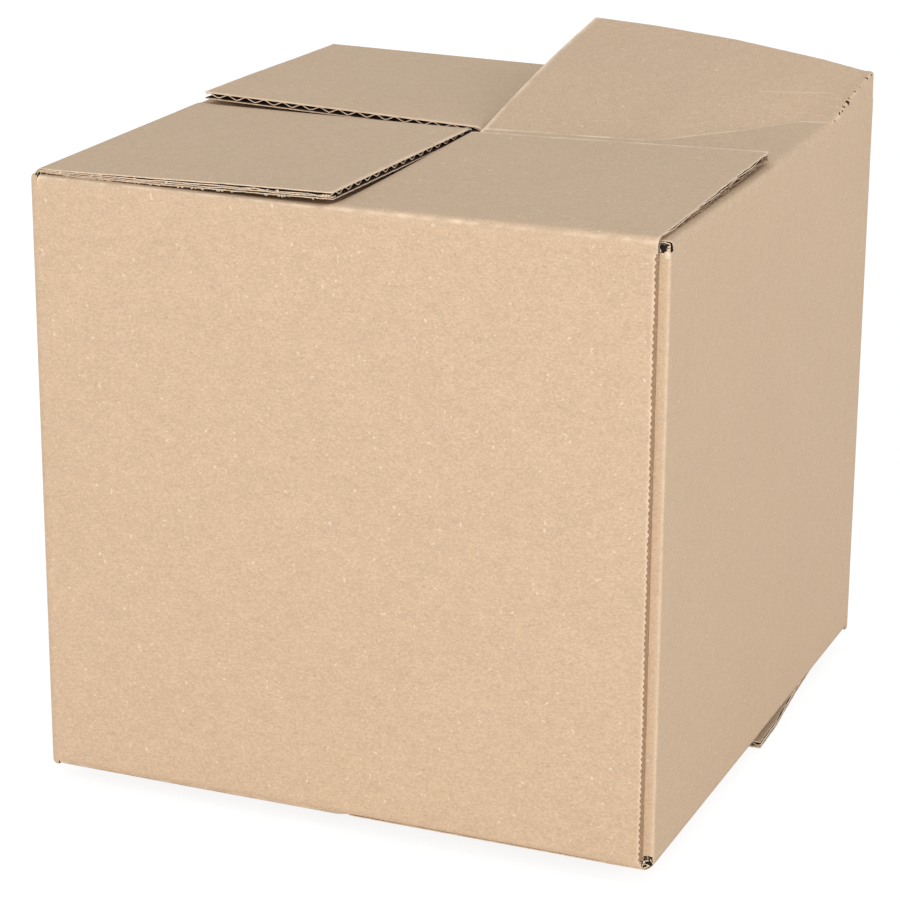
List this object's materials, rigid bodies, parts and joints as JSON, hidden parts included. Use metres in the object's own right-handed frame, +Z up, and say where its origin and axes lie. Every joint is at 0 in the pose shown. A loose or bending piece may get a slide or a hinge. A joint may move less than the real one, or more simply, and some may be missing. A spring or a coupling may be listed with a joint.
{
  "type": "closed cardboard box",
  "caption": "Closed single-wall corrugated cardboard box, its flaps tucked over and under each other, one flap bent up and split at its fold.",
  "frame": {"origin": "centre of the footprint, on the surface that the box stands on", "axes": "+X to the right wall, +Y to the back wall, +Z up"},
  "size_m": [0.2, 0.212, 0.2136],
  "materials": {
    "kraft_board": "matt recycled kraft liner"
  },
  "bodies": {
    "root": {"folded_box": "kraft_board"}
  },
  "joints": []
}
